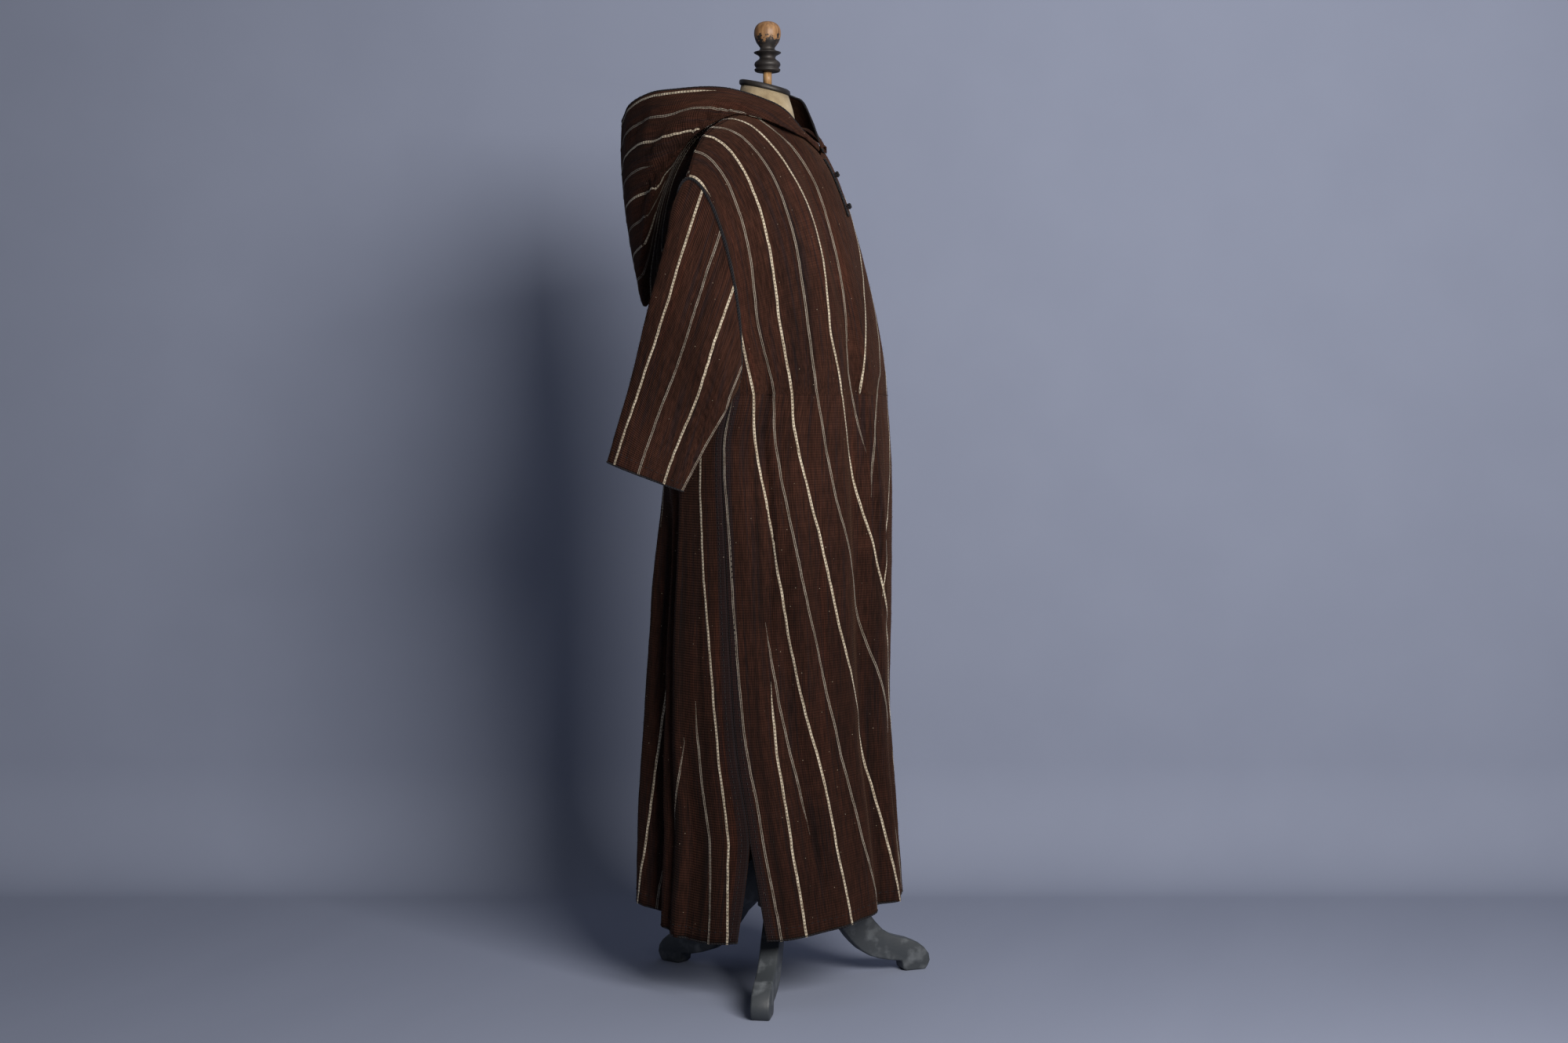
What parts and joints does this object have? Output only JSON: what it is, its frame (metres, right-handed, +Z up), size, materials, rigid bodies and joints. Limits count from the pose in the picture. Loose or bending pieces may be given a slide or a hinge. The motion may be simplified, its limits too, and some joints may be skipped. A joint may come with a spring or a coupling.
{
  "type": "hooded robe on a dress form",
  "caption": "Long hooded wool robe with straight sleeves, corded neck closure and slit hem, hanging on a limbless dress form with a turned finial and a tripod stand.",
  "frame": {"origin": "on the floor, under the middle of the whole part's box", "axes": "+Z up; the robe's front faces -Y and the wearer's right is -X"},
  "size_m": [0.5298, 0.5358, 1.7175],
  "materials": {
    "front_cloth": "hand-woven dark brown wool with thin cream stripes, napped",
    "back_cloth": "hand-woven dark brown wool with thin cream stripes, napped",
    "sleeve_cloth": "hand-woven dark brown wool with thin cream stripes, napped",
    "hood_cloth": "hand-woven dark brown wool with thin cream stripes, napped",
    "cord": "blue-black twisted wool cord",
    "linen_cover": "plain undyed linen, aged",
    "cap_wood": "black-stained wood, worn",
    "turned_wood": "black paint over tan wood, worn at the top",
    "stand_wood": "dark stained wood",
    "leg_paint": "grey-black painted board, scuffed at the foot"
  },
  "bodies": {
    "root": {"front": "front_cloth", "back": "back_cloth", "sleeve_right": "sleeve_cloth", "sleeve_left": "sleeve_cloth", "hood": "hood_cloth", "braid": "cord", "knot_upper": "cord", "knot_lower": "cord", "form": "linen_cover", "neck_cap": "cap_wood", "finial": "turned_wood", "pole": "stand_wood", "hub": "stand_wood", "leg_right": "leg_paint", "leg_left": "leg_paint", "leg_back": "leg_paint"}
  },
  "joints": []
}
